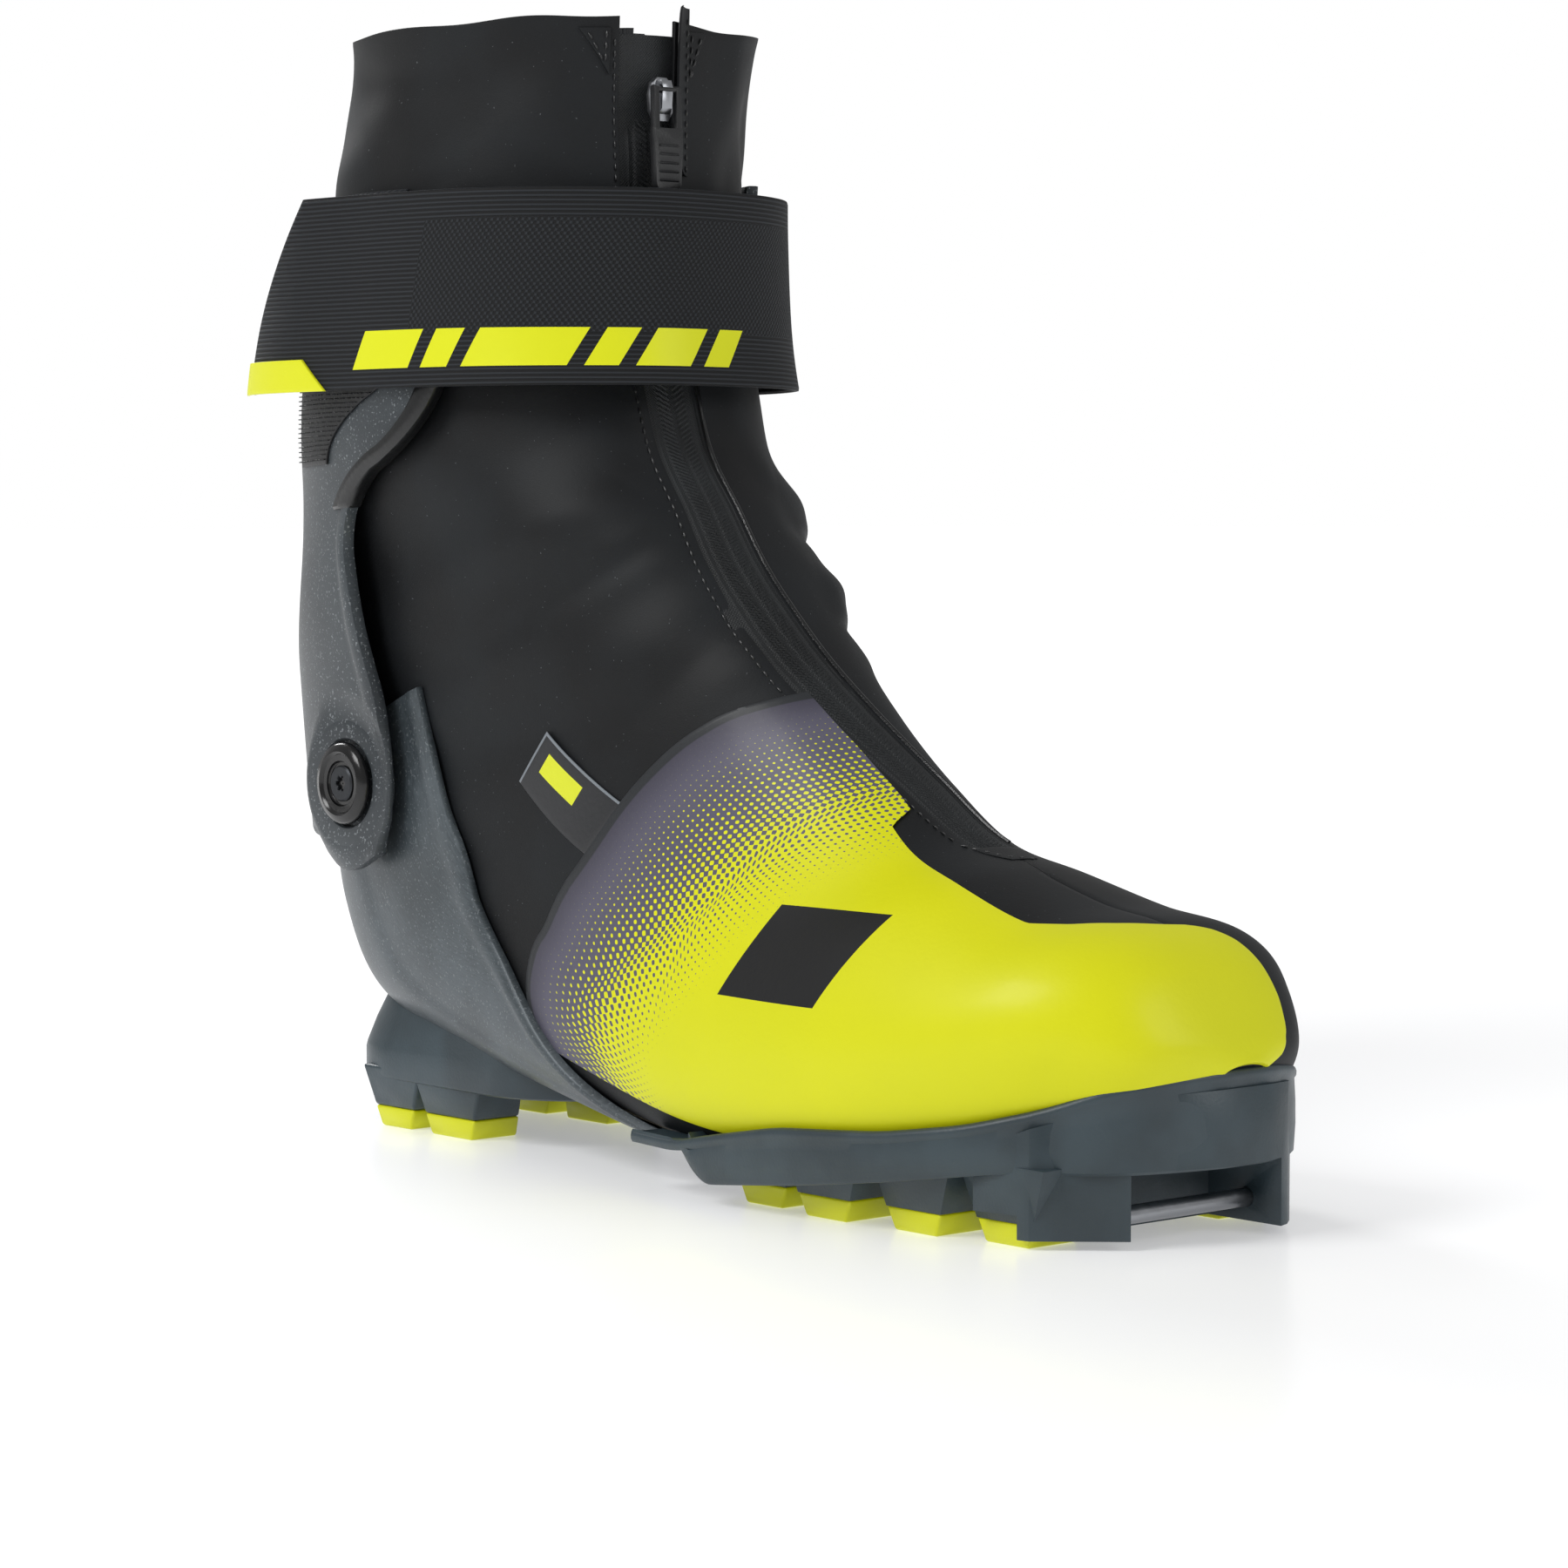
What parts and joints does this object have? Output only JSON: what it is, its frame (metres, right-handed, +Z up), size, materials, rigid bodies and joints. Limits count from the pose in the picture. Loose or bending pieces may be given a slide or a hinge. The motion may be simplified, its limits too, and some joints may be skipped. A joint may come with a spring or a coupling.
{
  "type": "cross country boot",
  "caption": "Cross country skating boot, right foot: carbon chassis, ankle-pivoted cuff with power strap, zipped softshell upper, lugged sole with a steel toe bar.",
  "frame": {"origin": "middle of the boot's bounding box, at the ground", "axes": "+X from heel to toe, +Y to the inner side of the foot, +Z up"},
  "size_m": [0.2995, 0.111, 0.267],
  "materials": {
    "slate_tpu": "satin",
    "lime_tpu": "satin",
    "steel": "brushed",
    "carbon_shell": "satin",
    "board": "matte",
    "liner_knit": "matte",
    "softshell": "matte",
    "lime_film": "satin",
    "black_plastic": "satin",
    "lace_cord": "matte",
    "binding_tape": "matte",
    "zip_coil": "satin",
    "hook_tape": "matte",
    "strap_webbing": "matte"
  },
  "bodies": {
    "boot": {"front_outsole": "slate_tpu", "front_lug_tips": "lime_tpu", "heel_outsole": "slate_tpu", "heel_lug_tips": "lime_tpu", "toe_bar": "steel", "chassis_shell": "carbon_shell", "lasting_board": "board", "footbed": "liner_knit", "vamp_upper": "softshell", "toe_stiffener": "board", "side_wrap": "lime_film", "side_tab": "black_plastic", "foot_liner": "liner_knit", "tongue": "liner_knit", "lace": "lace_cord", "lace_loops": "binding_tape", "ankle_bellows": "softshell", "zip_chain_ankle": "zip_coil", "zip_chain_lower": "zip_coil", "zip_end_patch": "softshell", "pivot_bush_lateral": "steel", "pivot_bush_medial": "steel", "pivot_cap_lateral": "black_plastic", "pivot_cap_medial": "black_plastic", "pivot_screw_lateral": "steel", "pivot_screw_medial": "steel"},
    "cuff": {"cuff_shell": "carbon_shell", "cuff_padding": "liner_knit", "cuff_edge_lip": "black_plastic", "hook_patch": "hook_tape", "strap_anchor": "strap_webbing", "strap_rivets": "steel", "collar": "softshell", "collar_liner": "liner_knit", "collar_binding": "binding_tape", "storm_flap": "softshell", "zip_chain_upper": "zip_coil", "heel_tab": "binding_tape"},
    "strap_band": {"strap": "strap_webbing", "strap_tip": "lime_tpu"},
    "slider": {"zip_slider": "steel"},
    "pull": {"zip_pull": "black_plastic"}
  },
  "joints": [
    {"name": "cuff_pivot", "type": "hinge", "parent": "boot", "child": "cuff", "pos_m": [-0.1015, 0.0018, 0.086], "axis": [0, 1, 0], "range_deg": [-5, 18], "stiffness_Nm_per_rad": 8, "deforming": ["ankle_bellows", "zip_chain_ankle"]},
    {"name": "strap_peel", "type": "hinge", "parent": "cuff", "child": "strap_band", "pos_m": [-0.06664, 0.0531, 0.20491], "axis": [0, 0, 1], "range_deg": [0, 110]},
    {"name": "zip_slide", "type": "slide", "parent": "cuff", "child": "slider", "axis": [0, 0, -1], "range_m": [0, 0.01]},
    {"name": "pull_flip", "type": "hinge", "parent": "slider", "child": "pull", "pos_m": [-0.0223, -0.0084, 0.2492], "axis": [0, -1, 0], "range_deg": [0, 140]}
  ]
}
